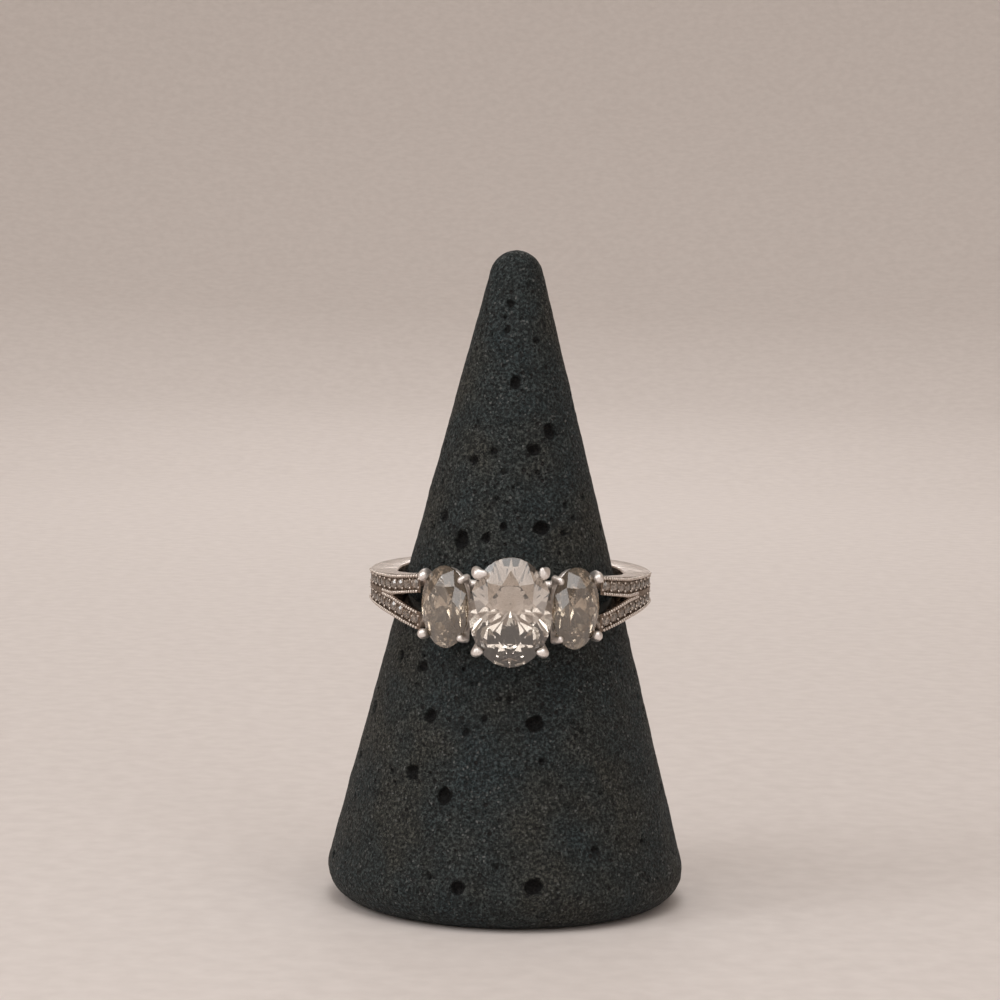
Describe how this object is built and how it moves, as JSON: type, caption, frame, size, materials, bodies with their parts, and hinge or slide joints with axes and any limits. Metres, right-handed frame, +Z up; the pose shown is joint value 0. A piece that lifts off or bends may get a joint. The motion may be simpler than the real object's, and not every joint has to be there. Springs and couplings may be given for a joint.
{
  "type": "three stone ring on a cone stand",
  "caption": "Finger ring with oval prong-set stones and split shoulders set with small stones, worn by a porous cone-shaped ring stand that stands on its flat round foot.",
  "frame": {"origin": "centre of the stand's flat round foot, on the surface it stands on", "axes": "+Z up along the stand to its tip, -Y towards the front where the large stone faces, +X to the right seen from the front"},
  "size_m": [0.0268, 0.0268, 0.0489],
  "materials": {
    "stand": "matt porous cast stone, dark grey",
    "metal": "polished white plating over silver",
    "stone": "clear, faceted and polished",
    "small_stone": "clear, faceted and polished"
  },
  "bodies": {
    "root": {"stand_cone": "stand", "ring_mount": "metal", "center_stone": "stone", "side_stone_left": "stone", "side_stone_right": "stone", "shoulder_stones_left": "small_stone", "shoulder_stones_right": "small_stone"}
  },
  "joints": []
}
